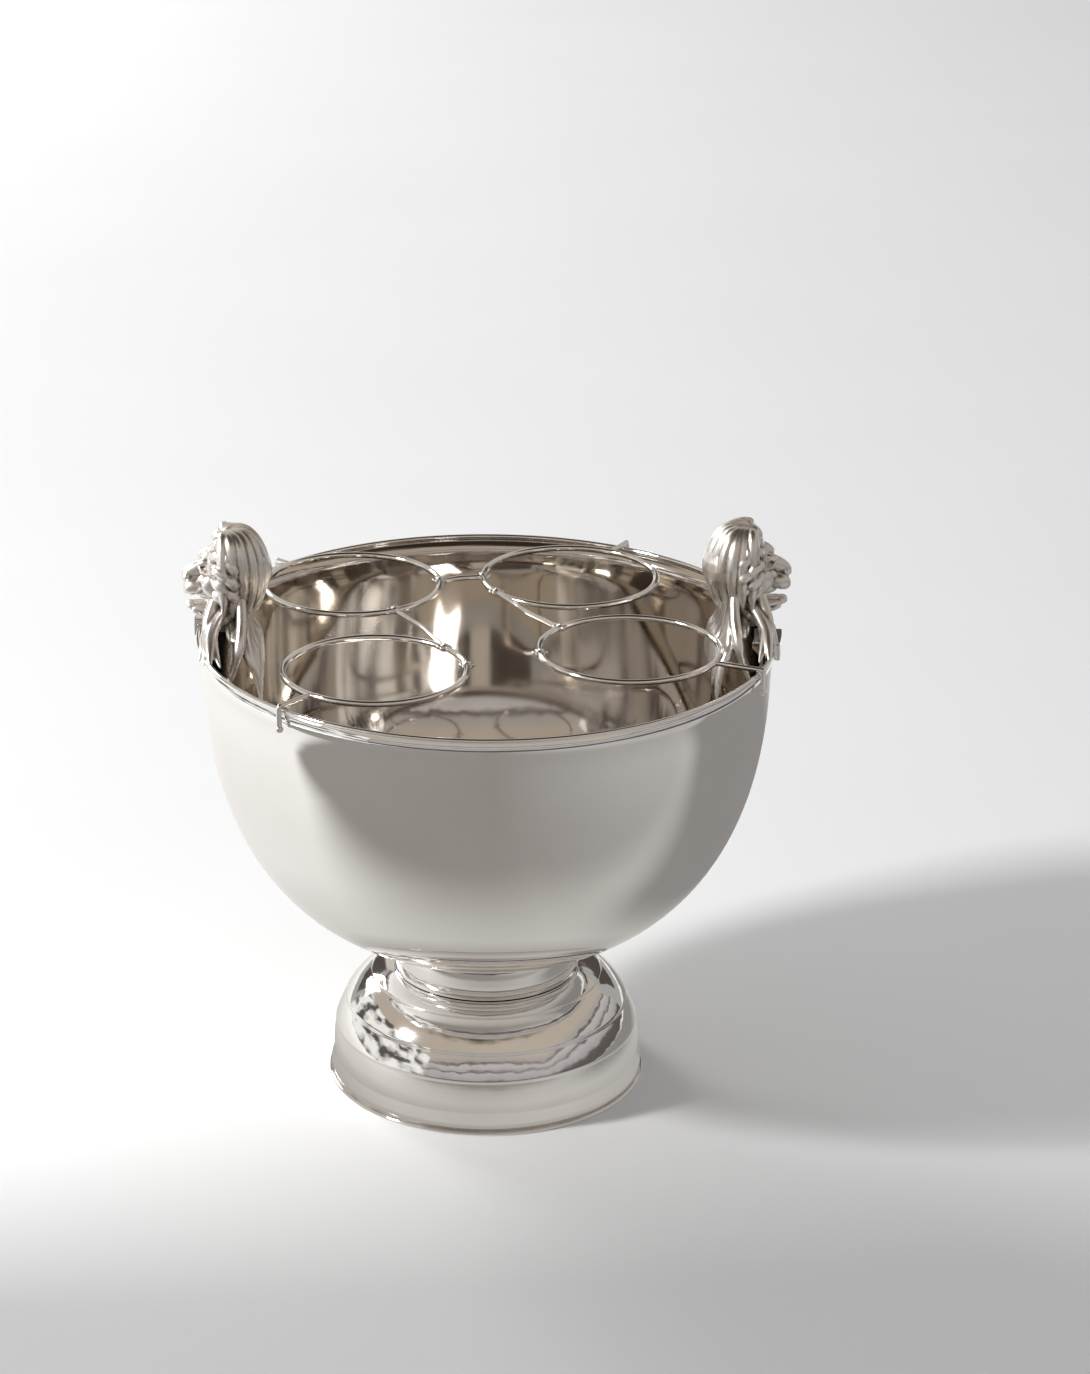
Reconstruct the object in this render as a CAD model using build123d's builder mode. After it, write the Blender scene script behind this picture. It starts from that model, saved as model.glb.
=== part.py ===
"""A silver champagne bucket: a deep spun bowl on a domed foot, with a cast lion's head
standing on the rim at each side and a lift-out rack of four bottle rings.

Millimetres, +Z up, origin at the centre of the resting face. The lion's heads stand on
the X axis, and the rack's rings lie in the rim's plane.
"""

import os
from math import atan2, cos, degrees, hypot, radians, sin, sqrt

from build123d import *

os.makedirs("parts", exist_ok=True)

# ---------------------------------------------------------------- driving dimensions
WALL = 1.6                # spun sheet
GAP = 0.02                # soldered faces stand this far apart
CLEAR = 0.3               # between the rack and the bucket

BOWL_RADIUS = 221.0       # outside, below the flare
BOWL_DEPTH = 262.0        # outside, rim down to the lowest point
BOWL_FULLNESS = 2.5       # superellipse exponent: 2 is round, more is squarer
RIM_Z = 376.0             # top of the rim
RIM_FLARE = 3.5           # how far the rim turns out
FLARE_HEIGHT = 26.0       # over this height
BEAD_RADIUS = 2.0         # wire rolled into the rim

COLLAR_RADIUS = 74.0
COLLAR_WALL = 2.5
FOOT_RADIUS = 124.7
FOOT_TOP_Z = 91.0
FOOT_LIP_Z = 16.8         # the dome ends here and a plain lip goes on down
FOOT_FULLNESS = 1.9
FOOT_STEP = 0.8           # height of each turned step on the dome
FOOT_STEPS = (0.0, 21.0, 49.0, 67.0, 90.0)   # where they lie, in degrees of the outline
FOOT_WIRE_HEIGHT = 2.6    # wire under the lip, flat below
FOOT_WIRE_WIDTH = 3.2

STUD_RADIUS = 4.0         # draws the foot up to the bowl
STUD_FLANGE_RADIUS = 18.0
STUD_FLANGE_HEIGHT = 3.0
NUT_ACROSS = 13.0
NUT_HEIGHT = 6.5
WASHER_RADIUS = 16.0
WASHER_HEIGHT = 2.0

HEAD_X = 202.0            # the lion's skull, above the rim
HEAD_Z = 427.0
HEAD_LENGTH = 50.0
HEAD_RADIUS = 24.0
HEAD_BACK = 15.0          # the skull is cut off flat this far behind its middle
MUZZLE_END_X = 236.0
MUZZLE_WIDTH = 25.0
MUZZLE_HEIGHT = 17.0
MANE_RADIUS = 29.5
MANE_BACK_X = 166.0
MANE_FRONT_X = 199.0
LOCK_RADIUS = 8.5         # the mane's locks
LOCKS = 12
NECK_DEPTH = 29.0         # where it spreads over the rim
NECK_WIDTH = 76.0
SADDLE_TOP_Z = 381.0
SADDLE_WIDTH = 34.0
SADDLE_THICKNESS = 2.6
SADDLE_INSIDE_DEPTH = 40.0
SADDLE_OUTSIDE_DEPTH = 9.0
CLAMP_SCREW_RADIUS = 2.0
CLAMP_HEAD_RADIUS = 3.6

RING_RADIUS = 69.5        # to the middle of the wire
RING_WIRE = 2.5           # wire radii
HOOK_WIRE = 2.2
LINK_WIRE = 2.0
RING_CENTRES = {          # the rack is bent by hand, so its rings stand a little unevenly
    "front_left": (-88.0, -90.0),
    "front_right": (107.0, -52.0),
    "back_right": (70.0, 111.0),
    "back_left": (-104.0, 99.0),
}
LINKS = {                 # from a ring and angle, past a bow to one side, to a ring and angle
    "link_left": ("back_left", -62.0, -14.0, "front_left", 40.0),
    "link_back": ("back_left", 4.0, -4.0, "back_right", 178.0),
    "link_right": ("back_right", 210.0, 14.0, "front_right", 137.0),
}
CLASPS = {                # where a cast clasp sits on each ring
    "front_left": (40.0, 5.0),
    "front_right": (137.0, 186.0),
    "back_right": (178.0, 210.0),
    "back_left": (-62.0, 4.0),
}
CLASP_RADIUS = 5.6
HOOK_DROP = 15.0          # down the outside of the rim
HOOK_BEND = 6.0
TIP_RADIUS = 3.0

BEAD_CENTRE_RADIUS = BOWL_RADIUS + RIM_FLARE - WALL / 2
BEAD_FLAT = sqrt(BEAD_RADIUS**2 - (WALL / 2) ** 2)   # bead centre down to the sheet's edge
SHELL_TOP_Z = RIM_Z - BEAD_RADIUS - BEAD_FLAT
BOWL_BOTTOM_Z = RIM_Z - BOWL_DEPTH
RACK_Z = RIM_Z + CLEAR + HOOK_WIRE


# ---------------------------------------------------------------- outlines
def bowl_point(angle, inset):
    """A point of the bowl's outline: angle 0 is the lowest point and 90 the rim."""
    power = 2 / BOWL_FULLNESS
    radius = (BOWL_RADIUS - inset) * sin(radians(angle)) ** power
    height = SHELL_TOP_Z - (SHELL_TOP_Z - BOWL_BOTTOM_Z - inset) * cos(radians(angle)) ** power
    rise = max(0.0, (height - SHELL_TOP_Z + FLARE_HEIGHT) / FLARE_HEIGHT)
    return (radius + RIM_FLARE * rise**2, height)


def bowl_underside(radius):
    """Height of the bowl's outer surface at a radius near the middle."""
    drop = (1 - (radius / BOWL_RADIUS) ** BOWL_FULLNESS) ** (1 / BOWL_FULLNESS)
    return SHELL_TOP_Z - (SHELL_TOP_Z - BOWL_BOTTOM_Z) * drop


def foot_point(angle, outset):
    """A point of the foot's outline: angle 0 is at the collar and 90 at the lip."""
    power = 2 / FOOT_FULLNESS
    width = FOOT_RADIUS - COLLAR_RADIUS
    height = FOOT_TOP_Z - FOOT_LIP_Z - FOOT_STEP * (len(FOOT_STEPS) - 2)
    across = sin(radians(angle)) ** power
    up = cos(radians(angle)) ** power
    return (COLLAR_RADIUS + (width + outset) * across, FOOT_LIP_Z + (height + outset) * up)


# ---------------------------------------------------------------- the bowl and its rim
OUTLINE_ANGLES = [0, 4, 12, 24, 36, 48, 58, 66, 73, 79, 84, 87, 90]

with BuildPart() as bowl:
    with BuildSketch(Plane.XZ):
        with BuildLine():
            outer = Spline([bowl_point(angle, 0.0) for angle in OUTLINE_ANGLES])
            inner = Spline([bowl_point(angle, WALL) for angle in OUTLINE_ANGLES])
            Line(outer @ 1, inner @ 1)
            Line(outer @ 0, inner @ 0)
        make_face()
    revolve(axis=Axis.Z)
bowl.part.label = "bowl"
export_step(bowl.part, "parts/bowl.step")

with BuildPart() as rim_bead:
    with BuildSketch(Plane.XZ):
        with Locations((BEAD_CENTRE_RADIUS, RIM_Z - BEAD_RADIUS)):
            Circle(BEAD_RADIUS)
        with Locations((BEAD_CENTRE_RADIUS, RIM_Z - BEAD_RADIUS - BEAD_FLAT)):
            Rectangle(
                3 * BEAD_RADIUS,
                BEAD_RADIUS,
                align=(Align.CENTER, Align.MAX),
                mode=Mode.SUBTRACT,
            )
    revolve(axis=Axis.Z)
rim_bead.part.label = "rim_bead"
export_step(rim_bead.part, "parts/rim_bead.step")


# ---------------------------------------------------------------- collar and foot
with BuildPart() as collar:
    with BuildSketch(Plane.XZ):
        with BuildLine():
            Polyline(
                (COLLAR_RADIUS - COLLAR_WALL, FOOT_TOP_Z + GAP),
                (COLLAR_RADIUS, FOOT_TOP_Z + GAP),
                (COLLAR_RADIUS, bowl_underside(COLLAR_RADIUS) - GAP),
                (COLLAR_RADIUS - COLLAR_WALL, bowl_underside(COLLAR_RADIUS - COLLAR_WALL) - GAP),
                close=True,
            )
        make_face()
    revolve(axis=Axis.Z)
collar.part.label = "collar"
export_step(collar.part, "parts/collar.step")

with BuildPart() as foot:
    with BuildSketch(Plane.XZ):
        with BuildLine():
            step_count = len(FOOT_STEPS) - 1
            edge = (STUD_RADIUS + CLEAR, FOOT_TOP_Z)
            for number in range(step_count):
                start, end = FOOT_STEPS[number], FOOT_STEPS[number + 1]
                outset = FOOT_STEP * (step_count - 1 - number)
                tread = [foot_point(start + (end - start) * part / 6, outset) for part in range(7)]
                Line(edge, tread[0])
                Spline(tread)
                edge = tread[-1]
            inner = Spline([foot_point(angle, -WALL) for angle in range(0, 91, 10)])
            Polyline(
                edge,
                (FOOT_RADIUS, FOOT_WIRE_HEIGHT + GAP),
                (FOOT_RADIUS - WALL, FOOT_WIRE_HEIGHT + GAP),
                inner @ 1,
            )
            Polyline(
                inner @ 0,
                (STUD_RADIUS + CLEAR, (inner @ 0).Y),
                (STUD_RADIUS + CLEAR, FOOT_TOP_Z),
            )
        make_face()
    revolve(axis=Axis.Z)
foot.part.label = "foot"
export_step(foot.part, "parts/foot.step")

with BuildPart() as foot_wire:
    with BuildSketch(Plane.XZ):
        with Locations((FOOT_RADIUS, FOOT_WIRE_HEIGHT / 2)):
            wire_section = Rectangle(FOOT_WIRE_WIDTH, FOOT_WIRE_HEIGHT)
        fillet(wire_section.vertices().group_by(Axis.X)[-1], FOOT_WIRE_HEIGHT * 0.35)
    revolve(axis=Axis.Z)
foot_wire.part.label = "foot_wire"
export_step(foot_wire.part, "parts/foot_wire.step")


# ---------------------------------------------------------------- the stud that holds them
FOOT_UNDERSIDE_Z = foot_point(0, -WALL)[1]
WASHER_Z = FOOT_UNDERSIDE_Z - GAP - WASHER_HEIGHT
NUT_Z = WASHER_Z - GAP - NUT_HEIGHT
STUD_END_Z = NUT_Z - 4.0

with BuildPart() as stud:
    with BuildSketch(Plane.XY.offset(BOWL_BOTTOM_Z - GAP)):
        Circle(STUD_FLANGE_RADIUS)
    extrude(amount=-STUD_FLANGE_HEIGHT)
    with BuildSketch(Plane.XY.offset(STUD_END_Z)):
        Circle(STUD_RADIUS)
    extrude(amount=BOWL_BOTTOM_Z - STUD_END_Z - STUD_FLANGE_HEIGHT)
    chamfer(stud.edges().sort_by(Axis.Z)[0], 0.6)
stud.part.label = "stud"
export_step(stud.part, "parts/stud.step")

with BuildPart() as washer:
    with BuildSketch(Plane.XY.offset(WASHER_Z)):
        Circle(WASHER_RADIUS)
        Circle(STUD_RADIUS + GAP, mode=Mode.SUBTRACT)
    extrude(amount=WASHER_HEIGHT)
washer.part.label = "washer"
export_step(washer.part, "parts/washer.step")

with BuildPart() as nut:
    with BuildSketch(Plane.XY.offset(NUT_Z)):
        RegularPolygon(NUT_ACROSS / 2, 6, major_radius=False)
        Circle(STUD_RADIUS + GAP, mode=Mode.SUBTRACT)
    extrude(amount=NUT_HEIGHT)
nut.part.label = "nut"
export_step(nut.part, "parts/nut.step")


# ---------------------------------------------------------------- the lion's heads
# Each is made at the +X side and the other is the same turned half way round.
RIM_INNER_RADIUS = BOWL_RADIUS - WALL

with BuildPart() as saddle:
    with BuildSketch(Plane.XZ):
        with BuildLine():
            inside = RIM_INNER_RADIUS - 1.2
            outside = BEAD_CENTRE_RADIUS + BEAD_RADIUS + GAP
            Polyline(
                (inside - SADDLE_THICKNESS, RIM_Z - SADDLE_INSIDE_DEPTH),
                (inside, RIM_Z - SADDLE_INSIDE_DEPTH),
                (inside, RIM_Z + GAP),
                (outside, RIM_Z + GAP),
                (outside, RIM_Z - SADDLE_OUTSIDE_DEPTH),
                (outside + SADDLE_THICKNESS, RIM_Z - SADDLE_OUTSIDE_DEPTH),
                (outside + SADDLE_THICKNESS, SADDLE_TOP_Z),
                (inside - SADDLE_THICKNESS * 4, SADDLE_TOP_Z),
                (inside - SADDLE_THICKNESS * 4, RIM_Z),
                (inside - SADDLE_THICKNESS, RIM_Z - SADDLE_THICKNESS * 3),
                close=True,
            )
        make_face()
    revolve(axis=Axis.Z)
    with Locations((BOWL_RADIUS, 0, RIM_Z)):
        Box(BOWL_RADIUS, SADDLE_WIDTH, BOWL_RADIUS, mode=Mode.INTERSECT)
    screw_heights = (RIM_Z - SADDLE_INSIDE_DEPTH + 7, RIM_Z - SADDLE_INSIDE_DEPTH + 21)
    with BuildSketch(Plane.YZ.offset(inside - 2 * SADDLE_THICKNESS)):
        with Locations(*[(0, height) for height in screw_heights]):
            Circle(CLAMP_SCREW_RADIUS + GAP)
    extrude(amount=3 * SADDLE_THICKNESS, mode=Mode.SUBTRACT)

with BuildPart() as clamp_screws:
    with BuildSketch(Plane.YZ.offset(inside - SADDLE_THICKNESS - 3 * GAP)):
        with Locations(*[(0, height) for height in screw_heights]):
            Circle(CLAMP_SCREW_RADIUS)
    extrude(amount=SADDLE_THICKNESS + 0.4)
    with BuildSketch(Plane.YZ.offset(inside - SADDLE_THICKNESS - 3 * GAP)):
        with Locations(*[(0, height) for height in screw_heights]):
            Circle(CLAMP_HEAD_RADIUS)
    extrude(amount=-2.2)

with BuildPart() as neck:
    with BuildSketch(Plane.XY.offset(SADDLE_TOP_Z + GAP)):
        with Locations((HEAD_X, 0)):
            Ellipse(NECK_DEPTH / 2, NECK_WIDTH / 2)
    with BuildSketch(Plane.XY.offset(HEAD_Z - HEAD_RADIUS * 0.75)):
        with Locations((HEAD_X - 1, 0)):
            Ellipse(13, 15)
    loft()

with BuildPart() as head:
    with BuildSketch(Plane.XZ):
        with Locations((HEAD_X, HEAD_Z)):
            Ellipse(HEAD_LENGTH / 2, HEAD_RADIUS)
            Rectangle(
                2 * HEAD_LENGTH, HEAD_RADIUS, align=(Align.CENTER, Align.MAX), mode=Mode.SUBTRACT
            )
        with Locations((HEAD_X - HEAD_BACK, HEAD_Z)):
            Rectangle(HEAD_LENGTH, HEAD_LENGTH, align=(Align.MAX, Align.MIN), mode=Mode.SUBTRACT)
    revolve(axis=Axis((0, 0, HEAD_Z), (1, 0, 0)))
    with BuildSketch(Plane.XY.offset(HEAD_Z - HEAD_RADIUS)):
        with Locations(((HEAD_X + MUZZLE_END_X) / 2, 0)):
            RectangleRounded(MUZZLE_END_X - HEAD_X, MUZZLE_WIDTH, 7)
    extrude(amount=MUZZLE_HEIGHT)
    with BuildSketch(Plane.XY.offset(HEAD_Z - HEAD_RADIUS + MUZZLE_HEIGHT - 1)):
        with Locations((MUZZLE_END_X - 6, 0)):
            Ellipse(5, 6)
    extrude(amount=4.5)
    add(neck.part, mode=Mode.SUBTRACT)

with BuildPart() as jaw:
    with BuildSketch(Plane.XY.offset(SADDLE_TOP_Z + 11.5)):
        with Locations((HEAD_X + 15, 0)):
            SlotOverall(31, 16)
    extrude(amount=6)
    fillet(jaw.edges().group_by(Axis.Z)[0], 2.0)
    add(neck.part, mode=Mode.SUBTRACT)

with BuildPart() as mane:
    mane_length = MANE_FRONT_X - MANE_BACK_X
    with BuildSketch(Plane.XZ):
        with Locations((MANE_FRONT_X, HEAD_Z)):
            Ellipse(mane_length, MANE_RADIUS)
            Rectangle(2 * mane_length, MANE_RADIUS, align=(Align.CENTER, Align.MAX), mode=Mode.SUBTRACT)
            Rectangle(mane_length, 2 * MANE_RADIUS, align=(Align.MIN, Align.CENTER), mode=Mode.SUBTRACT)
    revolve(axis=Axis((0, 0, HEAD_Z), (1, 0, 0)))
    for lock_x, lock_reach, lock_count in (
        (MANE_FRONT_X - LOCK_RADIUS, MANE_RADIUS - 4, LOCKS),
        (MANE_BACK_X + 15, MANE_RADIUS - 11, LOCKS - 2),
    ):
        with Locations(Plane(origin=(lock_x, 0, HEAD_Z), x_dir=(0, 1, 0), z_dir=(1, 0, 0))):
            with PolarLocations(lock_reach, lock_count):
                Sphere(LOCK_RADIUS)
    add(head.part, mode=Mode.SUBTRACT)
    add(neck.part, mode=Mode.SUBTRACT)
    add(jaw.part, mode=Mode.SUBTRACT)

with BuildPart() as ears:
    with Locations((HEAD_X + 3, 19, HEAD_Z + 21), (HEAD_X + 3, -19, HEAD_Z + 21)):
        Sphere(7)
    add(mane.part, mode=Mode.SUBTRACT)
    add(head.part, mode=Mode.SUBTRACT)

lion_pieces = {
    "saddle": saddle,
    "clamp_screws": clamp_screws,
    "neck": neck,
    "head": head,
    "jaw": jaw,
    "mane": mane,
    "ears": ears,
}
for side, turn in (("right", 0), ("left", 180)):
    for name, made in lion_pieces.items():
        lion_piece = made.part.rotate(Axis.Z, turn)
        lion_piece.label = f"{name}_{side}"
        export_step(lion_piece, f"parts/{name}_{side}.step")


# ---------------------------------------------------------------- the bottle rack
def ring_point(place, angle, radius=RING_RADIUS):
    """A point at an angle and a radius about a ring's centre, in the rack's plane."""
    x, y = RING_CENTRES[place]
    return Vector(x + radius * cos(radians(angle)), y + radius * sin(radians(angle)), RACK_Z)


rings = {}
for place, (ring_x, ring_y) in RING_CENTRES.items():
    azimuth = degrees(atan2(ring_y, ring_x))
    with BuildPart() as ring:
        with Locations(Location((ring_x, ring_y, RACK_Z), (0, 0, azimuth + 180 - 22))):
            Torus(RING_RADIUS, RING_WIRE)
    ring.part.label = f"ring_{place}"
    rings[place] = ring.part
    export_step(ring.part, f"parts/ring_{place}.step")

    # the hook runs straight out from the ring, over the rim and down
    outward = Vector(cos(radians(azimuth)), sin(radians(azimuth)), 0)
    reach = Plane(origin=(0, 0, 0), x_dir=outward, z_dir=outward.cross(Vector(0, 0, 1)))
    leg_radius = BEAD_CENTRE_RADIUS + BEAD_RADIUS + CLEAR + HOOK_WIRE
    leg_end_z = RACK_Z - HOOK_DROP
    with BuildPart() as hook:
        with BuildLine(reach) as hook_route:
            FilletPolyline(
                (hypot(ring_x, ring_y) + RING_RADIUS, RACK_Z),
                (leg_radius, RACK_Z),
                (leg_radius, leg_end_z),
                radius=HOOK_BEND / 2,
            )
        with BuildSketch(Plane(origin=hook_route.line @ 0, z_dir=hook_route.line % 0)):
            Circle(HOOK_WIRE)
        sweep()
        add(ring.part, mode=Mode.SUBTRACT)
    hook.part.label = f"hook_{place}"
    export_step(hook.part, f"parts/hook_{place}.step")

    with BuildPart() as tip:
        with Locations(reach.from_local_coords((leg_radius, leg_end_z - TIP_RADIUS + 0.6, 0))):
            Sphere(TIP_RADIUS)
        add(hook.part, mode=Mode.SUBTRACT)
    tip.part.label = f"tip_{place}"
    export_step(tip.part, f"parts/tip_{place}.step")

    for hand, angle in zip(("a", "b"), CLASPS[place]):
        with BuildPart() as clasp:
            with Locations(Location(ring_point(place, angle), (0, 0, angle))):
                Sphere(CLASP_RADIUS)
            add(ring.part, mode=Mode.SUBTRACT)
        clasp.part.label = f"clasp_{place}_{hand}"
        export_step(clasp.part, f"parts/clasp_{place}_{hand}.step")

for name, (first, first_angle, bow, second, second_angle) in LINKS.items():
    start = ring_point(first, first_angle)
    end = ring_point(second, second_angle)
    aside = (end - start).normalized().cross(Vector(0, 0, 1))
    with BuildPart() as link:
        with BuildLine() as link_route:
            ThreePointArc(start, (start + end) / 2 + aside * bow, end)
        with BuildSketch(Plane(origin=link_route.line @ 0, z_dir=link_route.line % 0)):
            Circle(LINK_WIRE)
        sweep()
        with Locations(start, end):
            Sphere(CLASP_RADIUS, mode=Mode.SUBTRACT)
        add(rings[first], mode=Mode.SUBTRACT)
        add(rings[second], mode=Mode.SUBTRACT)
    link.part.label = name
    export_step(link.part, f"parts/{name}.step")
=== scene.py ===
# %% [markdown]
# # A silver champagne bucket
# A deep bowl is spun from one sheet, a domed foot is drawn up to it with a stud, a cast lion's
# head stands on the rim at each side, and a rack of four bottle rings hooks over the rim.
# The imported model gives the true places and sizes. Everything here is in metres and is
# modelled around it.

# %% Load the frame
from math import atan2, cos, pi, radians, sin, sqrt

import bmesh
import bpy
from mathutils import Matrix, Vector


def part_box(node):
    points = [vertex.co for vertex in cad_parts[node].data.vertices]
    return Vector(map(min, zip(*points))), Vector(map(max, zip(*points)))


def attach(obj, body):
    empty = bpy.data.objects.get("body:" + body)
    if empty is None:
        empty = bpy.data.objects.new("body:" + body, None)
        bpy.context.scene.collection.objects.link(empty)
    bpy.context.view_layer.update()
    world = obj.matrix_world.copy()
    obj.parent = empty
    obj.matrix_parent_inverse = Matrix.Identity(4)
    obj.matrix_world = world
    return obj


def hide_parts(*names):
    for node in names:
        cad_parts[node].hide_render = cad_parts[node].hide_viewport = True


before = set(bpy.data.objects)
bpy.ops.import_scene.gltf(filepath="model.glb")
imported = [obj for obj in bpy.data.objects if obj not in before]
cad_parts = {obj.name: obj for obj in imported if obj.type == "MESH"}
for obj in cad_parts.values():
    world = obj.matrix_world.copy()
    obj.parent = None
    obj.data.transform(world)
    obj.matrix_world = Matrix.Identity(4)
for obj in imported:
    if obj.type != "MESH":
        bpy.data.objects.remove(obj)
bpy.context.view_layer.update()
MM = 0.001
WELD = 0.01 * MM              # points nearer than this are one point
print("nodes in the frame:", len(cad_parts))

# %% [markdown]
# ## The camera
# A product is shot from a few metres away with a long lens, so that its ellipses stay calm.
# The camera is given as a direction, a height and a lens, which is how a photographer would
# note it down. The bucket stands a few degrees turned, so the camera goes round by as much.

# %% Camera
CAMERA_DISTANCE = 2.8588      # along the floor, from the bucket's axis
CAMERA_HEIGHT = 1.4595
CAMERA_ASIDE = 0.0451
CAMERA_TURN = radians(-3.0)
CAMERA_PITCH = radians(21.585)
CAMERA_ROLL = radians(0.51)
LENS = 103.1

standpoint = Vector((CAMERA_ASIDE, -CAMERA_DISTANCE, CAMERA_HEIGHT))
standpoint.rotate(Matrix.Rotation(CAMERA_TURN, 3, "Z"))
bpy.ops.object.camera_add(location=standpoint, rotation=(pi / 2 - CAMERA_PITCH, 0, CAMERA_TURN))
camera = bpy.context.object
camera.rotation_euler.rotate_axis("Z", CAMERA_ROLL)
camera.data.lens = LENS
bpy.context.scene.camera = camera
print("camera at", [round(value, 3) for value in camera.location])

# %% [markdown]
# ## Small helpers for modelling
# The operators act on whatever is selected, so each piece starts by deselecting everything.
# A turned or spun piece starts as one point. The point is extruded along the outline, and
# the outline is spun round the axis, just as the sheet is on the lathe.


# %% Modelling helpers
def clear_selection():
    """Leaves edit mode and deselects everything."""
    if bpy.context.object and bpy.context.object.mode != "OBJECT":
        bpy.ops.object.mode_set(mode="OBJECT")
    bpy.ops.object.select_all(action="DESELECT")


def draw_outline(name, points):
    """A new piece in edit mode, with its vertices drawn from point to point."""
    clear_selection()
    bpy.ops.mesh.primitive_plane_add(size=MM, location=points[0])
    piece = bpy.context.object
    piece.name = name
    bpy.ops.object.transform_apply(location=True, rotation=True, scale=True)
    bpy.ops.object.mode_set(mode="EDIT")
    bpy.ops.mesh.merge(type="CENTER")
    for start, end in zip(points, points[1:]):
        step = Vector(end) - Vector(start)
        bpy.ops.mesh.extrude_region_move(TRANSFORM_OT_translate={"value": step})
    return piece


def spin_round(piece, steps, centre=(0, 0, 0), axis=(0, 0, 1)):
    """Spins the open outline once round the axis, and closes the seam and the poles."""
    bpy.ops.mesh.select_all(action="SELECT")
    bpy.ops.mesh.spin(steps=steps, angle=2 * pi, center=centre, axis=axis)
    bpy.ops.mesh.select_all(action="SELECT")
    bpy.ops.mesh.remove_doubles(threshold=WELD)
    bpy.ops.mesh.normals_make_consistent(inside=False)
    bpy.ops.object.mode_set(mode="OBJECT")
    bpy.ops.object.shade_smooth()


def add_modifier(piece, kind, **settings):
    """Adds a modifier with the given settings and applies it."""
    clear_selection()
    piece.select_set(True)
    bpy.context.view_layer.objects.active = piece
    modifier = piece.modifiers.new(kind.title(), kind)
    for setting, value in settings.items():
        setattr(modifier, setting, value)
    bpy.ops.object.modifier_apply(modifier=modifier.name)


def dress(piece, material, body, slot, *nodes):
    """Gives a finished piece its material and its body, and hides the nodes it replaces. The slot is
    not used.
    """
    piece.data.materials.clear()
    piece.data.materials.append(material)
    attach(piece, body)
    if nodes:
        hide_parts(*nodes)
    print(piece.name, "faces:", len(piece.data.polygons))


# %% [markdown]
# ## The finishes
# Silver plate is a metal with almost no roughness. What makes it look real is what is not
# perfect: a spun sheet is very slightly wavy, fingers leave faint smears, and a casting stays
# dark in its recesses because the polishing wheel can't reach them.


# %% Node helpers
def new_material(name):
    """A material with nodes, and its shader."""
    material = bpy.data.materials.new(name)
    material.use_nodes = True
    shader = material.node_tree.nodes["Principled BSDF"]
    shader.inputs["Metallic"].default_value = 1.0
    return material, material.node_tree, shader


def object_coordinates(tree, scale=(1, 1, 1)):
    """Object coordinates, stretched by scale."""
    source = tree.nodes.new("ShaderNodeTexCoord")
    mapping = tree.nodes.new("ShaderNodeMapping")
    mapping.inputs["Scale"].default_value = scale
    tree.links.new(source.outputs["Object"], mapping.inputs["Vector"])
    return mapping.outputs["Vector"]


def noise(tree, vector, scale, detail=3.0):
    """A noise texture's value."""
    texture = tree.nodes.new("ShaderNodeTexNoise")
    texture.inputs["Scale"].default_value = scale
    texture.inputs["Detail"].default_value = detail
    tree.links.new(vector, texture.inputs["Vector"])
    return texture.outputs["Fac"]


def spread(tree, value, low, high, start=0.3, end=0.7):
    """Maps a value from start..end to low..high."""
    node = tree.nodes.new("ShaderNodeMapRange")
    node.inputs["From Min"].default_value = start
    node.inputs["From Max"].default_value = end
    node.inputs["To Min"].default_value = low
    node.inputs["To Max"].default_value = high
    tree.links.new(value, node.inputs["Value"])
    return node.outputs["Result"]


def tint(tree, value, *stops):
    """A colour ramp through (place, colour) stops."""
    ramp = tree.nodes.new("ShaderNodeValToRGB")
    ramp.color_ramp.elements[0].position = stops[0][0]
    ramp.color_ramp.elements[0].color = (*stops[0][1], 1)
    ramp.color_ramp.elements[1].position = stops[-1][0]
    ramp.color_ramp.elements[1].color = (*stops[-1][1], 1)
    for place, colour in stops[1:-1]:
        ramp.color_ramp.elements.new(place).color = (*colour, 1)
    tree.links.new(value, ramp.inputs["Fac"])
    return ramp.outputs["Color"]


def raise_surface(tree, shader, height, strength, distance):
    """Bumps the shader's surface by a height."""
    bump = tree.nodes.new("ShaderNodeBump")
    bump.inputs["Strength"].default_value = strength
    bump.inputs["Distance"].default_value = distance
    tree.links.new(height, bump.inputs["Height"])
    tree.links.new(bump.outputs["Normal"], shader.inputs["Normal"])


# %% Polished silver
BRIGHT_LOW, BRIGHT_HIGH = (0.90, 0.885, 0.865), (0.95, 0.945, 0.935)


def make_polished_silver(name, waviness, smear, low=BRIGHT_LOW, high=BRIGHT_HIGH):
    """Mirror-polished plate, with long soft waves, fine smears and a faint warm cast."""
    material, tree, shader = new_material(name)
    smears = noise(tree, object_coordinates(tree, (9, 9, 16)), 1.0, 6.0)
    waves = noise(tree, object_coordinates(tree, (1, 1, 0.6)), 11.0, 1.0)
    colour = tint(tree, smears, (0.3, low), (0.75, high))
    tree.links.new(colour, shader.inputs["Base Color"])
    tree.links.new(spread(tree, smears, 0.02, smear), shader.inputs["Roughness"])
    raise_surface(tree, shader, waves, waviness, 0.001)
    return material


# %% Turned silver
LINE_SHARE = 0.06             # how much the fine lines count beside the dents


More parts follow.
